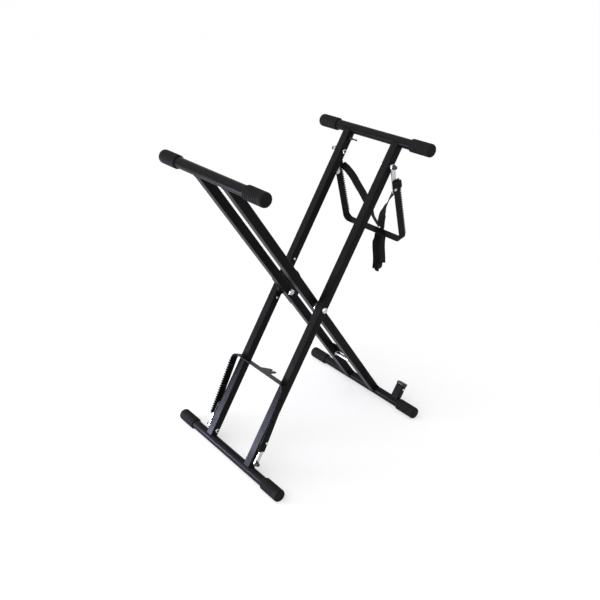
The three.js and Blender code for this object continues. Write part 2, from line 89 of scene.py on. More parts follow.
class Finish:
    def __init__(self, name):
        self.material = bpy.data.materials.new(name)
        self.material.use_nodes = True
        self.tree = self.material.node_tree
        self.shader = self.tree.nodes["Principled BSDF"]

    def node(self, kind, settings=None, sockets=None):
        made = self.tree.nodes.new(kind)
        for key, value in (settings or {}).items():
            setattr(made, key, value)
        for key, value in (sockets or {}).items():
            self.plug(made.inputs[key], value)
        return [Value(self, socket) for socket in made.outputs]

    def plug(self, socket, value):
        if isinstance(value, Value):
            self.tree.links.new(value.socket, socket)
        else:
            socket.default_value = value

    def set(self, **values):
        for name, value in values.items():
            self.plug(self.shader.inputs[name.replace("_", " ")], value)
        return self

    def place(self):
        return self.node("ShaderNodeTexCoord")[3]

    def noise(self, scale, detail=3, vector=None):
        sockets = {"Vector": vector or self.place(), "Scale": scale, "Detail": detail}
        return self.node("ShaderNodeTexNoise", {}, sockets)[0]

    def ramp(self, value, low, high):
        settings = {"clamp": True}
        return self.node("ShaderNodeMapRange", settings, {0: value, 1: low, 2: high, 3: 0.0, 4: 1.0})[0]

    def mix(self, factor, first, second):
        sockets = {0: factor, 6: first, 7: second}
        return self.node("ShaderNodeMix", {"data_type": "RGBA"}, sockets)[2]

    def bump(self, height, strength, distance):
        sockets = {"Height": height, "Strength": strength, "Distance": distance}
        return self.node("ShaderNodeBump", {}, sockets)[0]


def grey(level, blue=0.0):
    return (level, level, level * (1 + blue), 1)

# %% [markdown]
# ## Black powder coat
# The tubes, bars and racks were dipped in epoxy powder and baked. The coat is a near black with
# a soft gloss. It has a fine orange peel, a little dust that dulls it in patches, and thin scuffs.
# Peel is a tiny bump of two noises; dust and scuffs only change roughness and colour a little,
# because a strong pattern would look like rust on something this dark.

# %% Powder coat
def powder_coat():
    coat = Finish("black_powder_coat")
    peel = coat.noise(900, 2) * 0.7 + coat.noise(260, 2) * 0.3
    dust = coat.ramp(coat.noise(14, 5), 0.46, 0.72)
    long_way = coat.node("ShaderNodeMapping", {}, {"Vector": coat.place(), "Scale": (30, 260, 30)})[0]
    scuffs = coat.ramp(coat.noise(6, 6, long_way), 0.66, 0.74)
    colour = coat.mix(dust * 0.5, grey(0.0048), grey(0.0095, 0.04))
    colour = coat.mix(scuffs * 0.3, colour, grey(0.035))
    coat.set(Base_Color=colour, Roughness=0.3 + dust * 0.12 + scuffs * 0.15 + peel * 0.05)
    coat.set(IOR=1.5, Specular_IOR_Level=0.042)
    coat.set(Normal=coat.bump(peel, 0.12, 0.0004))
    return coat.material


POWDER_COAT = powder_coat()
print("finish:", POWDER_COAT.name)

# %% [markdown]
# ## Rubber, plastic and black bolts
# The caps are moulded rubber: matt, with a fine grain from the mould and a little
# paler in patches. The peg and plug are a harder plastic with a soft shine, and the racks' hinge
# bolts and the stop bolt are steel with a black oxide skin, so only they use the shader's metal.

# %% Rubber
def rubber():
    skin = Finish("black_rubber")
    grain = skin.noise(1500, 3)
    bloom = skin.ramp(skin.noise(22, 4), 0.4, 0.75)
    colour = skin.mix(bloom * 0.6, grey(0.0065), grey(0.0125))
    skin.set(Base_Color=colour, Roughness=0.62 + bloom * 0.14 + grain * 0.08)
    skin.set(IOR=1.5, Specular_IOR_Level=0.07, Normal=skin.bump(grain, 0.25, 0.0003))
    return skin.material


RUBBER = rubber()

# %% Moulded plastic
def moulded_plastic():
    skin = Finish("black_moulded_plastic")
    grain = skin.noise(1100, 2)
    wear = skin.ramp(skin.noise(60, 4), 0.55, 0.8)
    colour = skin.mix(wear * 0.5, grey(0.013), grey(0.03, 0.05))
    skin.set(Base_Color=colour, Roughness=0.36 + wear * 0.12)
    skin.set(IOR=1.49, Specular_IOR_Level=0.2, Normal=skin.bump(grain, 0.15, 0.0002))
    return skin.material


PLASTIC = moulded_plastic()

# %% Black oxide
def black_oxide():
    skin = Finish("black_oxide_steel")
    blotch = skin.ramp(skin.noise(300, 4), 0.4, 0.7)
    colour = skin.mix(blotch, grey(0.02), grey(0.045, 0.06))
    skin.set(Base_Color=colour, Metallic=0.85, Roughness=0.38 + blotch * 0.14)
    skin.set(Normal=skin.bump(skin.noise(1600, 2), 0.1, 0.0002))
    return skin.material


BLACK_OXIDE = black_oxide()
print("finishes:", RUBBER.name, PLASTIC.name, BLACK_OXIDE.name)

# %% [markdown]
# ## Zinc plate
# Links, nuts and rivets are bright zinc. Plated zinc isn't a mirror: the crystals leave a faint
# cloud, the blue rinse tints it, and small spots dull it. All of it is low in
# contrast, and sits in the roughness as much as in the colour.

# %% Zinc
def zinc_plate():
    plate = Finish("bright_zinc")
    cloud = plate.noise(180, 4)
    spots = plate.ramp(plate.noise(700, 2), 0.62, 0.75)
    colour = plate.mix(cloud, (0.42, 0.44, 0.45, 1), (0.58, 0.60, 0.61, 1))
    colour = plate.mix(spots * 0.25, colour, (0.28, 0.28, 0.27, 1))
    plate.set(Base_Color=colour, Metallic=1.0, Roughness=0.24 + cloud * 0.14 + spots * 0.1)
    plate.set(Normal=plate.bump(cloud + plate.noise(1300, 2) * 0.4, 0.12, 0.0003))
    return plate.material


ZINC = zinc_plate()

# %% [markdown]
# ## Webbing
# The strap is woven polyester webbing. Its ribs run across it every 1.6 mm and shine a little on
# their crowns. The ribs follow the strap however it twists, so they are made from the strap's
# own coordinates: U across it and V along it, both in millimetres, laid down when its mesh is
# made. Two sine waves out of step make the over-and-under of the weave.

# %% Webbing
def webbing():
    cloth = Finish("black_webbing")
    across, along, _ = cloth.node("ShaderNodeSeparateXYZ", {}, {0: cloth.node("ShaderNodeTexCoord")[2]})
    turn = 2 * math.pi

    def wave(value):
        return cloth.node("ShaderNodeMath", {"operation": "SINE"}, {0: value})[0] * 0.5 + 0.5

    rib = wave(along * (turn / 1.6))
    yarn = wave(across * (turn / 1.1) + along * (turn / 3.2))
    weave = rib * 0.6 + yarn * 0.4
    fuzz = cloth.noise(900, 4)
    faded = cloth.ramp(cloth.noise(40, 3), 0.42, 0.7)
    colour = cloth.mix(weave, grey(0.004), grey(0.0135))
    colour = cloth.mix(faded * 0.3, colour, grey(0.018))
    cloth.set(Base_Color=colour, Roughness=0.92 - weave * 0.14)
    cloth.set(Sheen_Weight=0.01, Sheen_Roughness=0.4, Specular_IOR_Level=0.08)
    cloth.set(Normal=cloth.bump(weave + fuzz * 0.3, 0.6, 0.0005))
    return cloth.material


WEBBING = webbing()
print("finishes:", ZINC.name, WEBBING.name)

# %% [markdown]
# ## Where things are
# Each frame of the stand has its own upright axis: along its tubes, with the pivot at zero. A
# piece is drawn in that plain frame, in millimetres, and a matrix carries it to the stand. This
# keeps numbers short ("the rack's hinge is 430 up the tube") and equal to the CAD source's.

# %% Named places
LEAN = math.radians(33.2)
HALF_TUBE, CAP_RADIUS, CAP_LENGTH = 500, 18, 70
PIVOT_X, PIVOT_HEIGHT = -13.4, HALF_TUBE * math.cos(LEAN) + CAP_RADIUS
LOWER_HINGE_AT, UPPER_HINGE_AT = -472, 430
LOWER_RACK_TILT, UPPER_RACK_TILT = math.radians(5.6), math.radians(14)
TOP_BAR, FOOT_BAR, BAR_INSET = 420, 476, 6.8
TUBE, TUBE_CORNER, TUBE_WALL = 25, 2.5, 1.6
BAR_RADIUS, BAR_BORE, SADDLE_RADIUS, WELD_RADIUS = 14, 12.4, 14.3, 14.6
OUTER_Y, INNER_FAR_Y, INNER_NEAR_Y = 92, 53, -61.5


def moved(x=0, y=0, z=0, turn=0.0):
    return Matrix.Translation(Vector((x, y, z)) * MM) @ Matrix.Rotation(turn, 4, "Y")


OUTER = moved(PIVOT_X, 0, PIVOT_HEIGHT, LEAN)
INNER = moved(PIVOT_X, 0, PIVOT_HEIGHT, -LEAN)
LOWER_HINGE = OUTER @ moved(z=LOWER_HINGE_AT)
UPPER_HINGE = OUTER @ moved(z=UPPER_HINGE_AT)
LOWER_RACK = LOWER_HINGE @ moved(turn=-LOWER_RACK_TILT)
UPPER_RACK = UPPER_HINGE @ moved(turn=math.pi - UPPER_RACK_TILT - LEAN)
STUB = INNER @ moved(z=-HALF_TUBE, turn=2 * LEAN)
print("pivot at", round(PIVOT_HEIGHT, 1), "mm; upper hinge", UPPER_HINGE.translation / MM)

# %% [markdown]
# ## From points to a piece
# Every piece starts as plain lists: points in millimetres and faces that join them. One helper
# turns them into a mesh, shades it smooth, and marks edges sharper than 40 degrees, so a
# turned dome looks round while its rim stays crisp.

# %% Make a piece
def mesh_piece(name, points, faces, where, body, finish, slot, nodes=(), uvs=None, sharp=40):
    mesh = bpy.data.meshes.new(name)
    mesh.from_pydata([where @ (Vector(p) * MM) for p in points], [], faces)
    if uvs:
        layer = mesh.uv_layers.new(name="strap")
        for loop in mesh.loops:
            layer.data[loop.index].uv = uvs[loop.vertex_index]
    mesh.validate()
    mesh.shade_smooth()
    mesh.set_sharp_from_angle(angle=math.radians(sharp))
    piece = bpy.data.objects.new(name, mesh)
    bpy.context.scene.collection.objects.link(piece)
    return finished(piece, body, finish, nodes)


def finished(piece, body, finish, nodes=()):
    if not piece.data.materials:
        piece.data.materials.append(finish)
    if nodes:
        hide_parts(*nodes)
    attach(piece, body)
    return piece

# %% [markdown]
# ## Turned pieces
# Bars, caps, washers, bolt heads and rivets are all made on a lathe or in a round mould, so
# they are one profile swept about the bar's axis. The CAD has 12 to 28 flats; here a ring has
# up to 96, and a profile that doesn't reach the axis closes on itself, which makes a tube.

# %% Turn a profile
def turned(profile, steps=72, closed=False):
    points, rings = [], []
    for radius, y in profile:
        if radius == 0:
            rings.append([len(points)] * steps)
            points.append((0, y, 0))
        else:
            rings.append([len(points) + i for i in range(steps)])
            angles = [2 * math.pi * i / steps for i in range(steps)]
            points += [(radius * math.cos(a), y, radius * math.sin(a)) for a in angles]
    pairs = list(zip(rings, rings[1:])) + ([(rings[-1], rings[0])] if closed else [])
    return points, [quad for low, high in pairs for quad in ring_faces(low, high)]


def ring_faces(low, high):
    faces = []
    for i in range(len(low)):
        j = (i + 1) % len(low)
        corners = dict.fromkeys((low[i], low[j], high[j], high[i]))
        if len(corners) > 2:
            faces.append(list(corners))
    return faces


def rounded(profile, reach):
    """The profile with each inner corner cut back and rounded off over three points."""
    result = [profile[0]]
    for before, corner, after in zip(profile, profile[1:], profile[2:]):
        a, b, c = (Vector(p) for p in (before, corner, after))
        cut = min(reach, (a - b).length * 0.45, (c - b).length * 0.45)
        start, end = b + (a - b).normalized() * cut, b + (c - b).normalized() * cut
        middle = (start + end) / 4 + b / 2
        result += [tuple(start), tuple(middle), tuple(end)]
    return result + [profile[-1]]

# %% [markdown]
# ## Cross bars
# A bar is a length of round tube, 28 mm across. It lies under or over the ends of two square
# tubes. The bar is a closed profile, so its cut ends inside the caps are real too.

# %% Bars
BARS = {
    "outer_top": (OUTER, HALF_TUBE, TOP_BAR, "outer_frame"),
    "outer_foot": (OUTER, -HALF_TUBE, FOOT_BAR, "outer_frame"),
    "inner_top": (INNER, HALF_TUBE, TOP_BAR, "inner_frame"),
    "inner_foot": (INNER, -HALF_TUBE, FOOT_BAR, "inner_frame"),
}
for name, (where, z, length, body) in BARS.items():
    half = length / 2 - BAR_INSET
    profile = [(BAR_BORE, -half), (BAR_RADIUS, -half), (BAR_RADIUS, half), (BAR_BORE, half)]
    points, faces = turned(profile, 96, closed=True)
    mesh_piece(f"{name}_bar_smooth", points, faces, where @ moved(z=z), body, POWDER_COAT,
               "black_steel", [f"{name}_bar"])
print("bars:", len(BARS))

# %% [markdown]
# ## Ribbed end caps
# Each cap is 70 mm long and covers the bar's last 63 mm. It has rounded ribs for grip, a chamfered
# mouth and a softly rounded end face. Ribs could be a bump, but they break the cap's outline in
# the photograph, so they are turned: eight bands with a narrow groove between them.

# %% Caps
def cap_profile():
    outer = [(14.2, 0.0), (16.2, 0.0), (18.0, 3.6)]
    pitch, groove = 7.4, 1.0
    for rib in range(7):
        start = 5.4 + rib * pitch
        outer += [(18.0, start), (18.0 - groove, start + 0.8), (18.0 - groove, start + 1.9)]
        outer += [(17.7, start + 2.6), (18.0, start + 4.4)]
    outer += [(18.0, 60.5), (17.9, 64.5), (17.3, 67.0), (16.0, 69.0), (13.8, 70.0), (12.0, 69.4)]
    return rounded(outer + [(0.01, 69.3)], 0.5) + [(0, 69.3)]


for name, (where, z, length, body) in BARS.items():
    inside = [(0, 63.5), (14.15, 63.5)]
    profile = inside + cap_profile()
    for side, label in ((1, "far"), (-1, "near")):
        points, faces = turned([(r, side * (length / 2 - CAP_LENGTH + y)) for r, y in profile], 96)
        mesh_piece(f"{name}_cap_{label}_ribbed", points, faces, where @ moved(z=z), body, RUBBER,
                   "rubber_cap", [f"{name}_cap_{label}"])
print("caps:", 2 * len(BARS))

# %% [markdown]
# ## Square tubes
# The legs of both frames are 25 mm square tube. Their ends are sawn to a saddle, so that they
# sit round the bar they are welded to. A boolean could cut that, but a saddle is only a height
# that depends on the distance from the tube's middle, so each end ring is simply put there.

# %% Tubes
def rounded_ring(wide, deep, corner, steps=6, guard=0.5):
    """A rectangle with round corners. A guard point just past each arc keeps the flats flat when
    the piece is shaded smooth, because only the guard strip then bends towards the arc."""
    ring = []
    for quarter in range(4):
        start = math.pi / 2 * quarter
        cx = (wide / 2 - corner) * (1 if quarter in (0, 3) else -1)
        cy = (deep / 2 - corner) * (1 if quarter in (0, 1) else -1)
        turn = [(cx + corner * math.cos(a), cy + corner * math.sin(a))
                for a in (start + math.pi / 2 * i / steps for i in range(steps + 1))]
        ring.append((turn[0][0] + guard * math.sin(start), turn[0][1] - guard * math.cos(start)))
        ring += turn
        ring.append((turn[-1][0] - guard * math.cos(start), turn[-1][1] - guard * math.sin(start)))
    return ring


def square_ring(size, corner):
    return with_flats(rounded_ring(size, size, corner))


def with_flats(ring, longest=4.5):
    """Extra points along the flats, so that a saddle is curved there as well."""
    result = []
    for a, b in zip(ring, ring[1:] + ring[:1]):
        parts = max(1, round(math.dist(a, b) / longest))
        result += [(a[0] + (b[0] - a[0]) * i / parts, a[1] + (b[1] - a[1]) * i / parts) for i in range(parts)]
    return result


def saddled_tube(y):
    outer, inner = square_ring(TUBE, TUBE_CORNER), square_ring(TUBE - 2 * TUBE_WALL, 0.9)
    points, faces, rings = [], [], []
    for ring, order in ((outer, (-1, 1)), (inner, (1, -1))):
        for end, back in ((order[0], 0), (order[0], 2.5), (order[1], 2.5), (order[1], 0)):
            rings.append([len(points) + i for i in range(len(ring))])
            points += [(x, y + w, end * (HALF_TUBE - back - math.sqrt(SADDLE_RADIUS ** 2 - x * x)))
                       for x, w in ring]
    return points, rings


def bridge(low, high):
    """Faces between two rings that may differ in count, matched by their share of the turn."""
    faces, i, j = [], 0, 0
    while i < len(low) or j < len(high):
        a, b = low[i % len(low)], high[j % len(high)]
        if j / len(high) < i / len(low) or i == len(low):
            faces.append((a, b, high[(j + 1) % len(high)]))
            j += 1
        else:
            faces.append((a, b, low[(i + 1) % len(low)]))
            i += 1
    return faces


TUBES = {
    "outer_tube_far": (OUTER, OUTER_Y, "outer_frame"),
    "outer_tube_near": (OUTER, -OUTER_Y, "outer_frame"),
    "inner_tube_far": (INNER, INNER_FAR_Y, "inner_frame"),
    "inner_tube_near": (INNER, INNER_NEAR_Y, "inner_frame"),
}
for name, (where, y, body) in TUBES.items():
    points, rings = saddled_tube(y)
    faces = [face for k in (0, 1, 2, 4, 5, 6) for face in ring_faces(rings[k], rings[k + 1])]
    faces += bridge(rings[3], rings[4]) + bridge(rings[7], rings[0])
    mesh_piece(f"{name}_smooth", points, faces, where, body, POWDER_COAT, "black_steel", [name])
print("tubes:", len(TUBES))

# %% [markdown]
# ## Weld beads
# Where a tube meets its bar, a bead runs round the saddle. A weld is a row of overlapping puddles,
# each a little different, laid by hand. Here a bead is a tube swept along the saddle, whose
# radius swells and shrinks every few millimetres.

# %% Welds
def bead(path, radius, ripple=0.28, pitch=3.2, seed=0):
    dice = random.Random(seed)
    points, rings, walked = [], [], 0.0
    for i, at in enumerate(path):
        ahead, behind = path[(i + 1) % len(path)], path[i - 1]
        walked += (at - behind).length
        along = (ahead - behind).normalized()
        side = along.orthogonal().normalized()
        up = along.cross(side)
        size = radius * (1 + ripple * math.sin(2 * math.pi * walked / pitch) + dice.uniform(-0.06, 0.06))
        rings.append([len(points) + k for k in range(8)])
        angles = [2 * math.pi * k / 8 for k in range(8)]
        points += [tuple(at + (side * math.cos(a) + up * math.sin(a)) * size) for a in angles]
    faces = [f for low, high in zip(rings, rings[1:] + rings[:1]) for f in ring_faces(low, high)]
    return points, faces


def saddle_path(y, end):
    ring = with_flats(square_ring(TUBE + 0.6, TUBE_CORNER + 0.3), 1.0)
    widest = 13
    depths = [math.sqrt(WELD_RADIUS ** 2 - min(x * x, widest ** 2)) for x, _ in ring]
    return [Vector((x, y + w, end * (HALF_TUBE - depth))) for (x, w), depth in zip(ring, depths)]


for name, (where, y, body) in TUBES.items():
    for end, label in ((1, "top"), (-1, "foot")):
        points, faces = bead(saddle_path(y, end), 1.25, seed=int(y) + end)
        mesh_piece(f"weld_{name}_{label}", points, faces, where, body, POWDER_COAT, "black_steel",
                   sharp=80)
print("welds:", 2 * len(TUBES))

# %% [markdown]
# ## Flat plates
# Links, the stop disc and the tongue are punched from sheet. A flat curve in Blender fills
# itself, keeps its holes, and rounds its own rims, which no hand-made mesh does as cheaply. It
# becomes a plain mesh at once, so that everything after this treats it like the rest.

# %% Punch a plate
def punched(name, outlines, low, high, where, body, finish, nodes=(), rim=0.35, flat="Y"):
    curve = bpy.data.curves.new(name, "CURVE")
    curve.dimensions, curve.fill_mode = "2D", "BOTH"
    curve.extrude, curve.bevel_depth = ((high - low) / 2 - rim) * MM, rim * MM
    curve.offset, curve.bevel_resolution = -rim * MM, 2
    for outline in outlines:
        spline = curve.splines.new("POLY")
        spline.points.add(len(outline) - 1)
        spline.use_cyclic_u = True
        for point, (u, v) in zip(spline.points, outline):
            point.co = (u * MM, v * MM, 0, 1)
    drawn = bpy.data.objects.new(name + "_drawn", curve)
    bpy.context.scene.collection.objects.link(drawn)
    mesh = bpy.data.meshes.new_from_object(drawn.evaluated_get(bpy.context.evaluated_depsgraph_get()))
    bpy.data.objects.remove(drawn)
    middle = (low + high) / 2 * MM
    if flat == "Y":
        stand_up = Matrix(((1, 0, 0, 0), (0, 0, -1, middle), (0, 1, 0, 0), (0, 0, 0, 1)))
    else:
        stand_up = Matrix(((1, 0, 0, 0), (0, 1, 0, 0), (0, 0, 1, middle), (0, 0, 0, 1)))
    mesh.transform(where @ stand_up)
    mesh.materials.clear()
    mesh.shade_smooth()
    mesh.set_sharp_from_angle(angle=math.radians(40))
    piece = bpy.data.objects.new(name, mesh)
    bpy.context.scene.collection.objects.link(piece)
    return finished(piece, body, finish, nodes)


def arc(cx, cy, radius, start, end, steps=32):
    return [(cx + radius * math.cos(start + (end - start) * i / steps),
             cy + radius * math.sin(start + (end - start) * i / steps)) for i in range(steps + 1)]


def hole(cx, cy, radius):
    return arc(cx, cy, radius, 0, 2 * math.pi, 48)[:-1]

# %% [markdown]
# ## Toothed racks
# A rack is one strip, 3 mm thick and 24.5 mm wide, bent into a U. Square teeth are cut along one
# edge of its two legs, and the rims of three holes are marked near the other edge. The strip is
# swept as rings of eight corners along the U, and the toothed edge simply steps in and out from
# ring to ring.

# %% Rack strip
PLAIN, GAP, ROOT, TIP = 10.7, 12.4, 13.8, 16.7
RACK_START, RACK_END, RACK_BEND, BEND_STEPS = 39, 241, 20, 20
LEG_Y, HALF_THICK = 116, 1.5
FIRST_TOOTH, TOOTH_PITCH, TEETH = 44, 7.5, 24


def leg_stations():
    stations = [(RACK_START, ROOT), (FIRST_TOOTH - 0.5, ROOT)]
    for tooth in range(TEETH):
        z = FIRST_TOOTH + tooth * TOOTH_PITCH
        stations += [(z + 0.9, GAP), (z + 1.7, TIP), (z + 4.7, TIP), (z + 5.5, GAP)]
    return [s for s in stations if s[0] < RACK_END - RACK_BEND - 0.2] + [(RACK_END - RACK_BEND, ROOT)]


def strip_stations():
    """(y, z, outward y, outward z, toothed edge) from the near leg's end to the far leg's end."""
    leg = [(LEG_Y, z, 1, 0, edge) for z, edge in leg_stations()]
    centre_y, centre_z = LEG_Y + HALF_THICK - RACK_BEND, RACK_END - RACK_BEND
    radius = RACK_BEND - HALF_THICK
    bend = []
    for i in range(1, BEND_STEPS + 1):
        a = math.pi / 2 * i / BEND_STEPS
        ny, nz = math.cos(a), math.sin(a)
        bend.append((centre_y + radius * ny, centre_z + radius * nz, ny, nz, ROOT))
    half = leg + bend
    return half + [(-y, z, -ny, nz, edge) for y, z, ny, nz, edge in reversed(half)]


def rack_strip():
    points, rings, e, t = [], [], 0.45, HALF_THICK
    for y, z, ny, nz, edge in strip_stations():
        section = [(-edge + e, t), (-edge, t - e), (-edge, e - t), (-edge + e, -t),
                   (PLAIN - e, -t), (PLAIN, e - t), (PLAIN, t - e), (PLAIN - e, t)]
        rings.append([len(points) + i for i in range(8)])
        points += [(x, y + ny * n, z + nz * n) for x, n in section]
    faces = [f for low, high in zip(rings, rings[1:]) for f in ring_faces(low, high)]
    return points, faces + [rings[0], rings[-1][::-1]]


def drilled(piece, where, body_holes):
    """Marks the holes' rims in both legs, with a boolean whose drill is then thrown away.
    The boolean doesn't open them: the discs inside the rims stay."""
    points, faces = [], []
    for x, z, radius in body_holes:
        drill, walls = turned([(0, -125), (radius, -125), (radius, 125), (0, 125)], 40)
        faces += [[i + len(points) for i in face] for face in walls]
        points += [(px + x, py, pz + z) for px, py, pz in drill]
    mesh = bpy.data.meshes.new("drill")
    mesh.from_pydata([where @ (Vector(p) * MM) for p in points], [], faces)
    tool = bpy.data.objects.new("drill", mesh)
    bpy.context.scene.collection.objects.link(tool)
    cut = piece.modifiers.new("holes", "BOOLEAN")
    cut.object, cut.solver = tool, "EXACT"
    held = bpy.data.meshes.new_from_object(piece.evaluated_get(bpy.context.evaluated_depsgraph_get()))
    piece.modifiers.clear()
    piece.data = held
    bpy.data.objects.remove(tool)
    held.set_sharp_from_angle(angle=math.radians(40))
    return piece


RACKS = {"lower": (LOWER_RACK, LOWER_HINGE), "upper": (UPPER_RACK, UPPER_HINGE)}
for name, (where, _) in RACKS.items():
    points, faces = rack_strip()
    strip = mesh_piece(f"{name}_rack_smooth", points, faces, where, f"{name}_rack", POWDER_COAT,
                       "black_steel", [f"{name}_rack"])
    drilled(strip, where, [(5.7, z, 3) for z in (66, 132, 198)])
    print(strip.name, len(strip.data.polygons), "faces")

# %% [markdown]
# ## The forked tongue
# The middle of the lower rack's crosspiece carries a tongue with a notch in its end, punched from
# the same sheet. It lies flush with the crosspiece, so only its outline needs care.

# %% Tongue
tongue = [(9.7, -30), (14, -28.5), (44, -22.5), (46.7, -20.5), (46.7, -14.5), (45, -13), (34, -13),
          (32.7, -11.5), (32.7, -6.5), (34, -5), (45, -5), (46.7, -3.5), (46.7, 2.5), (44, 4.5),
          (14, 10.5), (9.7, 12)]
punched("lower_rack_tongue", [tongue], 238, 241, LOWER_RACK, "lower_rack", POWDER_COAT,
        flat="Z")

# %% [markdown]
# ## Links, rivets and hinge bolts
# A zinc link on each side carries the rack. Its top turns on a black domed bolt through the tube,
# and a rivet joins it to the leg's first hole. Nuts, spacers and rivet heads repeat on both
# sides and both racks, so each is described once and made four times.

# %% Small hardware
def side_of(side, profile):
    return [(r, side * y) for r, y in profile]


def nut_ring(across, bore, low, high, steps=72):
    """A hexagon nut: its outline is six flats, and its rims are chamfered where they pass a circle."""
    def reach(a):
        return across / 2 / math.cos((a % (math.pi / 3)) - math.pi / 6)

    points, rings = [], []
    levels = [(bore, low), (None, low), (None, low + 0.7), (None, high - 0.7), (None, high), (bore, high)]
    for radius, y in levels:
        rings.append([len(points) + i for i in range(steps)])
        for i in range(steps):
            a = 2 * math.pi * i / steps
            r = radius or (min(reach(a), across / 2 + 0.15) if y in (low, high) else reach(a))
            points.append((r * math.cos(a), y, r * math.sin(a)))
    pairs = zip(rings, rings[1:] + rings[:1])
    faces = [face for low_ring, high_ring in pairs for face in ring_faces(low_ring, high_ring)]
    return points, faces


LINK_TOP, LINK_FACE, LINK_BACK = (5.7, 72), 114.2, 111.2
link_tilt = math.atan2(*LINK_TOP)
link_outline = (arc(*LINK_TOP, 8, -link_tilt, math.pi - link_tilt)
                + arc(0, 0, 8, math.pi - link_tilt, 2 * math.pi - link_tilt))
for name, (rack, hinge) in RACKS.items():
    for side, label in ((1, "far"), (-1, "near")):
        low, high = sorted((side * LINK_BACK, side * LINK_FACE))
        punched(f"{name}_link_{label}_smooth", [link_outline, hole(0, 0, 4.3)], low, high, rack,
                f"{name}_rack", ZINC, [f"{name}_link_{label}"])
        rivet = [(0, 108.7), (2.4, 108.8), (4.1, 109.7), (4.6, 110.9), (2.5, 110.9), (2.5, 117.8),
                 (4.6, 117.8), (4.1, 119.0), (2.4, 119.9), (0, 120.1)]
        mesh_piece(f"{name}_rivet_{label}_smooth", *turned(side_of(side, rounded(rivet, 0.3)), 48),
                   rack @ moved(5.7, 0, 66), f"{name}_rack", ZINC, "zinc", [f"{name}_rivet_{label}"])
        bolt = [(0, 72), (3.4, 72), (4, 72.8), (4, 114.5), (7, 114.5), (7, 117.4), (5.1, 119), (5, 123.4),
                (3.4, 125), (0, 125)]
        mesh_piece(f"{name}_hinge_bolt_{label}_smooth", *turned(side_of(side, rounded(bolt, 0.5)), 56),
                   hinge, "outer_frame", BLACK_OXIDE, "black_bolt", [f"{name}_hinge_bolt_{label}"])
        spacer = [(4.3, 104.8), (6.5, 104.8), (6.5, 110.9), (4.3, 110.9)]
        mesh_piece(f"{name}_hinge_spacer_{label}_smooth", *turned(side_of(side, spacer), 56, closed=True),
                   hinge, "outer_frame", ZINC, "zinc", [f"{name}_hinge_spacer_{label}"])
        low, high = sorted((side * 73.2, side * 79.2))
        mesh_piece(f"{name}_hinge_nut_{label}_smooth", *nut_ring(12, 4.05, low, high), hinge, "outer_frame",
                   ZINC, "zinc", [f"{name}_hinge_nut_{label}"])
print("rack hardware made for", len(RACKS), "racks")

# %% [markdown]
# ## The pivot
# A domed bolt through each pair of tubes holds the frames together. The far side carries a half
# disc with an arc slot, in which a bolt runs: it stops the frames when open and when folded.

# %% Pivot bolts, nuts and washer
def turned_on(name, profile, where, body, finish, slot, nodes, round_off=0.5, closed=False, steps=64):
    shape = profile if closed else rounded(profile, round_off)
    return mesh_piece(name, *turned(shape, steps, closed), where, body, finish, slot, nodes)


turned_on("pivot_bolt_far_smooth", [(0, 31.5), (4, 31.5), (5, 32.6), (5, 104.8), (9, 104.8), (9, 106.6),
          (7, 107.9), (4, 108.7), (0, 108.8)], OUTER, "outer_frame", ZINC, "zinc", ["pivot_bolt_far"])
turned_on("pivot_bolt_near_smooth", [(0, -40), (4, -40), (5, -41), (5, -104.8), (9, -104.8), (9, -106.6),
          (8.4, -108.6), (6.6, -110.9), (3.6, -112.4), (0, -112.8)], OUTER, "outer_frame", ZINC, "zinc",
          ["pivot_bolt_near"])
turned_on("pivot_washer_near_smooth", [(5.3, -79.2), (12.7, -79.2), (13, -78.9), (13, -74.6), (12.7, -74.3),
          (5.3, -74.3)], OUTER, "outer_frame", ZINC, "zinc", ["pivot_washer_near"], closed=True)
mesh_piece("pivot_nut_far_smooth", *nut_ring(16, 5.05, 33.0, 40.2), OUTER, "outer_frame", ZINC, "zinc",
           ["pivot_nut_far"])
mesh_piece("pivot_nut_near_smooth", *nut_ring(16, 5.05, -48.7, -41.5), OUTER, "outer_frame", ZINC, "zinc",
           ["pivot_nut_near"])

# %% Stop disc and its bolt
STOP_OPEN = math.pi / 2 - 2 * LEAN
STOP_FOLDED = STOP_OPEN + math.radians(62)


def slot_outline(orbit, radius, start, end):
    far_end = (orbit * math.cos(end), orbit * math.sin(end))
    near_end = (orbit * math.cos(start), orbit * math.sin(start))
    return (arc(0, 0, orbit + radius, start, end) + arc(*far_end, radius, end, end + math.pi, 16)[1:-1]
            + arc(0, 0, orbit - radius, end, start)
            + arc(*near_end, radius, start + math.pi, start + 2 * math.pi, 16)[1:-1])


corner = math.acos(-12.5 / 64)
disc_outline = arc(0, 0, 64, -corner, corner, 96)
slot_hole = slot_outline(48, 4.6, STOP_OPEN, STOP_FOLDED)
disc = punched("stop_disc_smooth", [disc_outline, slot_hole, hole(0, 0, 5.3)], 65.8, 69.8, INNER,
               "inner_frame", POWDER_COAT, ["stop_disc"])
turned_on("stop_disc_boss", [(5.3, 69.6), (18, 69.6), (18, 78.8), (17.6, 79.2), (5.3, 79.2)], INNER,
          "inner_frame", POWDER_COAT, "black_steel", [], closed=True)
turned_on("stop_bolt_smooth", [(0, 65.8), (3.4, 65.8), (4, 66.6), (4, 104.8), (7, 104.8), (7, 106.6),
          (6.2, 107.5), (0, 107.5)], OUTER @ moved(z=48), "outer_frame", BLACK_OXIDE, "black_bolt",
          ["stop_bolt"])
for label, z in (("upper", 90), ("lower", -34)):
    turned_on(f"tube_rivet_{label}_smooth", [(0, 76.7), (2, 77.0), (3.6, 78.1), (4, 79.2), (2, 79.4),
              (2, 82.1), (0, 82.1)], OUTER @ moved(z=z), "outer_frame", ZINC, "zinc", [f"tube_rivet_{label}"])
print("stop disc:", len(disc.data.polygons), "faces")

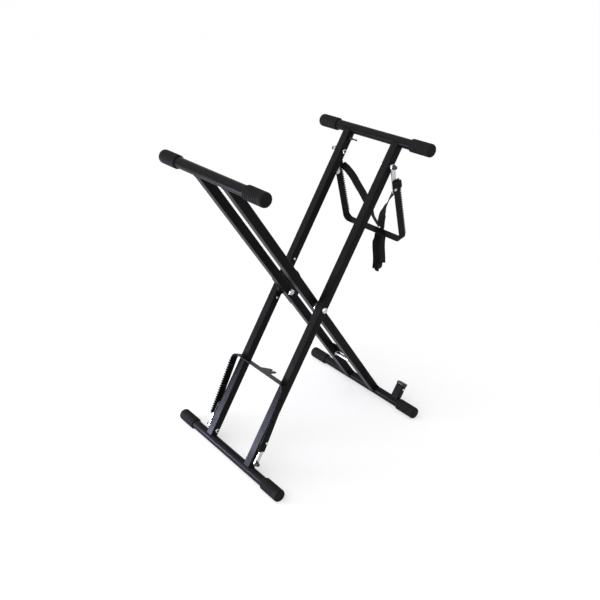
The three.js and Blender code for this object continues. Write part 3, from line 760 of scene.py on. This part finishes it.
# %% [markdown]
# ## Tie, peg and rest stub
# Near the foot of the inner frame a plate and a bolt hold its two tubes apart. A small peg
# near the top is there for cables, and a short tube with a rounded plug stands up from the
# near end of the foot bar: the other frame comes to rest on it when the stand is folded.

# %% Tie plate and bolt
def boxed(name, size, centre, where, body, finish, slot, nodes, edge=0.8):
    """A block with rounded edges, from a bevelled cage."""
    signs = [(x, y, z) for x in (-1, 1) for y in (-1, 1) for z in (-1, 1)]
    points = [tuple(c + s * h / 2 for c, s, h in zip(centre, sign, size)) for sign in signs]
    faces = [(0, 1, 3, 2), (4, 6, 7, 5), (0, 4, 5, 1), (2, 3, 7, 6), (0, 2, 6, 4), (1, 5, 7, 3)]
    piece = mesh_piece(name, points, faces, where, body, finish, slot, nodes)
    soften = piece.modifiers.new("edges", "BEVEL")
    soften.width, soften.segments, soften.harden_normals = edge * MM, 3, True
    return piece


boxed("tie_plate_smooth", (3, 88.9, 50), (12, -4.25, -330), INNER, "inner_frame", POWDER_COAT, "black_steel",
      ["tie_plate"])
tie_z = INNER @ moved(z=-347)
turned_on("tie_bolt_rod", [(0, -44.5), (5.5, -44.5), (5.5, 36), (0, 36)], tie_z, "inner_frame", ZINC, "zinc",
          ["tie_bolt"])
mesh_piece("tie_bolt_head", *nut_ring(14, 3, -48.7, -43.7), tie_z, "inner_frame", ZINC, "zinc")
mesh_piece("tie_bolt_nut", *nut_ring(14, 3, 35.2, 40.2), tie_z, "inner_frame", ZINC, "zinc")

# %% Peg
turned_on("cable_peg_smooth", [(0, 49), (1.8, 49), (2.6, 50.2), (2.6, 52), (1.9, 53.4), (2.2, 66),
          (4, 70), (4, 79.2), (0, 79.2)], OUTER @ moved(z=470), "outer_frame", PLASTIC, "black_plastic",
          ["cable_peg"])

# %% Rest stub
def level_ring(wide, deep, corner, z):
    return [(x, y - 148, z) for x, y in rounded_ring(wide, deep, corner, 8)]


def lofted(rings, caps=True):
    points, indices = [], []
    for ring in rings:
        indices.append([len(points) + i for i in range(len(ring))])
        points += ring
    faces = [f for low, high in zip(indices, indices[1:]) for f in ring_faces(low, high)]
    return points, faces + ([indices[0][::-1], indices[-1]] if caps else [])


def stub_tube():
    walls = [level_ring(20, 28, 2.5, 56), level_ring(16.8, 24.8, 1, 56)]
    feet = [[(x, y, math.sqrt(SADDLE_RADIUS ** 2 - x * x)) for x, y, _ in ring] for ring in walls]
    above = [[(x, y, z + 2) for x, y, z in foot] for foot in feet]
    points, faces = lofted([feet[0], above[0], walls[0], walls[1], above[1], feet[1]], caps=False)
    count = len(walls[0])
    return points, faces + ring_faces([i + 5 * count for i in range(count)], list(range(count)))


mesh_piece("rest_stub_smooth", *stub_tube(), STUB, "inner_frame", POWDER_COAT, "black_steel", ["rest_stub"])
plug_levels = [(19, 27, 3.6, 56.3), (21, 29, 4.4, 57.2), (23, 31, 5, 59.3), (23, 31, 5, 63.3),
               (22.4, 30.4, 5, 64.6), (20.6, 28.6, 4.6, 65.8), (17, 25, 4, 66.3), (8, 14, 3, 66.3)]
mesh_piece("rest_stub_plug_smooth", *lofted([level_ring(*level) for level in plug_levels]),
           STUB, "inner_frame", PLASTIC, "rubber_cap", ["rest_stub_plug"])
turned_on("rest_stub_screw_smooth", [(0, -154), (2.3, -154), (2.3, -162.3), (4.5, -162.3), (4, -164.1),
          (2, -164.8), (0, -164.9)], STUB @ moved(z=46), "inner_frame", ZINC, "zinc", ["rest_stub_screw"])
print("small pieces done")

# %% [markdown]
# ## The strap
# A webbing strap, 22 mm wide, is tied to the tops of the upper rack's legs. Its two runs meet at
# the crosspiece and pass over its toothed side, and the surplus hangs below in flat folds. A
# strap is inextensible but twists freely, so each run is a ribbon whose width direction
# turns along the way.

# %% Ribbon
def smooth_line(points, count):
    """Points along a Catmull-Rom line, spread evenly over its spans."""
    line = []
    ends = [points[0] * 2 - points[1]] + points + [points[-1] * 2 - points[-2]]
    for i in range(count + 1):
        t = i / count * (len(points) - 1)
        k = min(int(t), len(points) - 2)
        u = t - k
        a, b, c, d = ends[k:k + 4]
        line.append(0.5 * (2 * b + (c - a) * u + (2 * a - 5 * b + 4 * c - d) * u * u
                           + (3 * b - a - 3 * c + d) * u ** 3))
    return line


def ribbon(line, sides, width=22.0, thick=1.5, across=8):
    """A flat band along a line. sides gives the width direction at each point of the line."""
    points, uvs, rings, walked = [], [], [], 0.0
    for i, at in enumerate(line):
        ahead, behind = line[min(i + 1, len(line) - 1)], line[max(i - 1, 0)]
        walked += (at - line[i - 1]).length if i else 0.0
        along = (ahead - behind).normalized()
        side = (sides[i] - along * sides[i].dot(along)).normalized()
        face = along.cross(side)
        loop = [(k / across - 0.5, 0.5) for k in range(across + 1)]
        loop += [(0.5 - k / across, -0.5) for k in range(across + 1)]
        rings.append([len(points) + k for k in range(len(loop))])
        for u, w in loop:
            bulge = thick * w * (0.55 if abs(u) == 0.5 else 1.0)
            points.append(tuple(at + side * (u * width) + face * bulge))
            uvs.append((u * width, walked))
    faces = [f for low, high in zip(rings, rings[1:]) for f in ring_faces(low, high)]
    return points, faces + [rings[0][::-1], rings[-1]], uvs, walked


def blended(values, count):
    """Numbers spread along the line, eased from one to the next."""
    result = []
    for i in range(count + 1):
        t = i / count * (len(values) - 1)
        k = min(int(t), len(values) - 2)
        u = t - k
        result.append(values[k] + (values[k + 1] - values[k]) * (3 * u * u - 2 * u ** 3))
    return result


def strap_piece(name, centre, turns, nodes, count=72):
    """turns: degrees about the strap's own line, 0 when it lies flat in the rack's plane."""
    line = smooth_line([Vector(p) for p in centre], count)
    sides = []
    for i, turn in enumerate(blended(turns, count)):
        along = (line[min(i + 1, count)] - line[max(i - 1, 0)]).normalized()
        flat = Vector((0, along.z, -along.y))
        a = math.radians(turn)
        sides.append(flat * math.cos(a) + Vector((1, 0, 0)) * math.sin(a))
    points, faces, uvs, length = ribbon(line, sides)
    piece = mesh_piece(name, points, faces, UPPER_RACK, "upper_rack", WEBBING, "webbing", nodes, uvs,
                       sharp=60)
    length * MM
    print(name, "is", round(length), "mm long")
    return piece


far_line = [(-17.5, 113, 57), (-17.9, 108, 63), (-17.9, 94.8, 71), (-17.9, 74.8, 90.5), (-17.9, 60.9, 113),
            (-17.9, 42.9, 139.5), (-17.9, 26.5, 174), (-18, 12, 210), (-18.4, -8, 238)]
near_line = [(-17.5, -113, 62), (-17.9, -99, 79), (-17.9, -83.8, 95.3), (-17.9, -66.5, 120.3),
             (-17.9, -53.3, 144.5), (-17.9, -38.5, 169.7), (-17.9, -26.3, 194.5), (-18, -18.1, 218.4),
             (-18.4, -15.5, 236)]
strap_piece("strap_far_run", far_line, [20, 32, 45, 50, 50, 48, 25, -14, -12], ["strap_far"])
strap_piece("strap_near_run", near_line, [-20, -36, -42, -57, -58, -28, 15, 30, 8], ["strap_near"])

# %% [markdown]
# ## Loops round the legs
# Each end of the strap goes round its leg and is stitched to itself. The loop hugs the leg's flat
# section, and the spare fold stands out as a small beak on the toothed side.

# %% Loops
LOOP_BEAK, LOOP_SLOPE = 5.0, 0.24


def leg_loop(side, z_low, z_high, gap=0.6, thick=1.6):
    """A closed band round one leg, with a pinched fold at the teeth."""
    left, right = -TIP - gap - 0.4, PLAIN + gap
    inner, outer = LEG_Y - HALF_THICK - gap, LEG_Y + HALF_THICK + gap
    middle = (inner + outer) / 2
    core = [(left - LOOP_BEAK, middle), (left, inner + 0.4), (left + 6, inner), (right - 2, inner)]
    core += [(right, inner + 1.5), (right, outer - 1.5), (right - 2, outer), (left + 6, outer)]
    core += [(left, outer - 0.4)]
    core = [Vector((x, y)) for x, y in core]
    count = len(core)
    ring = []
    for i, at in enumerate(core):
        along = (core[(i + 1) % count] - core[i - 1]).normalized()
        ring.append((at, Vector((along.y, -along.x))))
    points, uvs, rings = [], [], []
    between = [z_low + (z_high - z_low) * k / 10 for k in range(1, 10)]
    levels = [z_low, z_low + 0.6] + between + [z_high - 0.6, z_high]
    for depth in (thick, 0.05):
        for z in levels if depth == thick else levels[::-1]:
            soft = 0.35 * math.sin(z * 0.9) * (1 if depth == thick else 0.3)
            shrink = 0.6 if z in (z_low, z_high) and depth == thick else 0.0
            rings.append([len(points) + k for k in range(count)])
            for k, (at, out) in enumerate(ring):
                p = at + out * (depth - shrink + soft * 0.3)
                points.append((p.x, side * p.y, z + (right - at.x) * LOOP_SLOPE))
                uvs.append((z, k * 8.0))
    faces = [f for low, high in zip(rings, rings[1:] + rings[:1]) for f in ring_faces(low, high)]
    return points, faces, uvs


for side, label in ((1, "far"), (-1, "near")):
    points, faces, uvs = leg_loop(side, 40, 62)
    loop = mesh_piece(f"strap_loop_{label}", points, faces, UPPER_RACK, "upper_rack", WEBBING, "webbing",
                      (), uvs, sharp=60)
    soften = loop.modifiers.new("soft", "SUBSURF")
    soften.levels = soften.render_levels = 2

# %% [markdown]
# ## The folded surplus
# Below the crosspiece the rest of the strap hangs in six folds, side by side. A folded strap
# never lies as neat as a drawing: turns differ in height, and the whole leans
# and sways a little. The path is one continuous zigzag, so it is still a single strap.

# %% Folded surplus
HANG_LENGTH, FOLD_PITCH, NECK_POINTS = 117, 6.2, 24


def folded_line(tops, bottoms, pitch, count=7):
    """One line down and up through the folds, with round turns, in the plane across the strap."""
    line, half = [], pitch / 2
    for fold, (top, bottom) in enumerate(zip(tops, bottoms)):
        y = -fold * pitch
        down = [(y, top + (bottom - top) * k / 12) for k in range(13)]
        line += down if fold % 2 == 0 else down[::-1]
        if fold < len(tops) - 1:
            turn_at = bottom if fold % 2 == 0 else top
            swing = 1 if fold % 2 == 0 else -1
            turn = [math.pi * k / count for k in range(1, count)]
            line += [(y - half + half * math.cos(a), turn_at + swing * half * math.sin(a)) for a in turn]
    return line


def strap_surplus():
    hang = Matrix.Rotation(UPPER_RACK_TILT, 4, "Y")
    zigzag = folded_line([14, 3, 3, 3, 3, 5], [114, 114, 117, 117, 93, 93], FOLD_PITCH)
    line = []
    for y, z in zigzag:
        share = max(0.0, z / HANG_LENGTH)
        sway = 1.4 * math.sin(z * 0.05) + 1.6 * math.sin(y * 0.8)
        at = Vector((14 + sway, y - 5.5 + 1.8 * math.sin(share * 5.5), z))
        line.append(hang @ at + Vector((-18.8, 0, 251)))
    neck = [Vector(p) for p in ((-18.4, -16, 233), (-19, -16, 243), (-16.5, -12, 253), (-9, -7, 259))]
    return smooth_line(neck + line, 4 * (len(neck) + len(line)))


surplus_line = strap_surplus()
surplus_sides = []
for i in range(len(surplus_line)):
    quarter = min(1.0, i / NECK_POINTS) * math.pi / 2
    surplus_sides.append(Vector((-math.sin(quarter), math.cos(quarter), 0)))
points, faces, uvs, length = ribbon(surplus_line, surplus_sides)
surplus = mesh_piece("strap_surplus", points, faces, UPPER_RACK, "upper_rack", WEBBING, "webbing",
                     ["strap_bundle"], uvs, sharp=60)
length * MM
print("surplus is", round(length), "mm long")

# %% [markdown]
# ## Floor and light
# The photograph has a white background and soft light from above and the left. A wide floor
# takes the shadow. It is partly a plain white to the camera and to reflections, which keeps the
# shadow faint, and the world does the same, but lights the stand softly, so the blacks stay black.

# %% Floor
FLOOR_REACH, FLOOR_Z, WHITE_SHARE = 60, -0.0005, 0.55
floor_mesh = bpy.data.meshes.new("floor")
floor_corners = [(x * FLOOR_REACH, y * FLOOR_REACH, FLOOR_Z) for x, y in ((-1, -1), (1, -1), (1, 1), (-1, 1))]
floor_mesh.from_pydata(floor_corners, [], [(0, 1, 2, 3)])
floor = bpy.data.objects.new("floor", floor_mesh)
bpy.context.scene.collection.objects.link(floor)
paint = Finish("floor_white")
paint.set(Base_Color=(0.93, 0.93, 0.93, 1), Roughness=1.0, Specular_IOR_Level=0.0)
rays = paint.node("ShaderNodeLightPath")
camera_ray, glossy_ray, transmission_ray = rays[0], rays[3], rays[6]
seen_directly = (camera_ray + glossy_ray + transmission_ray) * WHITE_SHARE
white = paint.node("ShaderNodeEmission", {}, {"Color": (1, 1, 1, 1), "Strength": 1.0})[0]
painted = Value(paint, paint.shader.outputs[0])
half_white = paint.node("ShaderNodeMixShader", {}, {0: seen_directly, 1: painted, 2: white})[0]
paint.plug(paint.tree.nodes["Material Output"].inputs["Surface"], half_white)
floor_mesh.materials.append(paint.material)

# %% World
world = bpy.data.worlds.new("studio")
world.use_nodes = True
bpy.context.scene.world = world
nodes, links = world.node_tree.nodes, world.node_tree.links
seen, lit = nodes["Background"], nodes.new("ShaderNodeBackground")
seen.inputs["Color"].default_value, seen.inputs["Strength"].default_value = (1, 1, 1, 1), 1.0
lit.inputs["Color"].default_value, lit.inputs["Strength"].default_value = (1, 1, 1, 1), 0.3
ray, share = nodes.new("ShaderNodeLightPath"), nodes.new("ShaderNodeMixShader")
looks = ray.outputs["Is Camera Ray"]
for kind in ("Is Glossy Ray", "Is Transmission Ray"):
    either = nodes.new("ShaderNodeMath")
    either.operation = "MAXIMUM"
    links.new(looks, either.inputs[0])
    links.new(ray.outputs[kind], either.inputs[1])
    looks = either.outputs[0]
links.new(looks, share.inputs[0])
links.new(lit.outputs[0], share.inputs[1])
links.new(seen.outputs[0], share.inputs[2])
links.new(share.outputs[0], nodes["World Output"].inputs["Surface"])

# %% Lamps
def lamp(name, kind, place, target, power, size, colour=(1, 1, 1)):
    light = bpy.data.lights.new(name, kind)
    light.energy, light.color = power, colour
    if kind == "SUN":
        light.angle = math.radians(size)
    else:
        light.shape, light.size = "SQUARE", size
    holder = bpy.data.objects.new(name, light)
    holder.location = place
    holder.rotation_euler = (Vector(target) - Vector(place)).to_track_quat("-Z", "Y").to_euler()
    holder.visible_camera = False
    bpy.context.scene.collection.objects.link(holder)
    return holder


lamp("sky_light", "SUN", (-1.5, 0.4, 2.0), (0, 0, 0), 3.05, 90)
lamp("front_light", "AREA", (0.9, -1.6, 1.6), (0.1, 0, 0.8), 4, 0.9)
lamp("low_card", "AREA", (-1.3, 0.85, 0.15), (-0.28, 0, 0.05), 46, 0.42, (0.72, 0.72, 1.0))
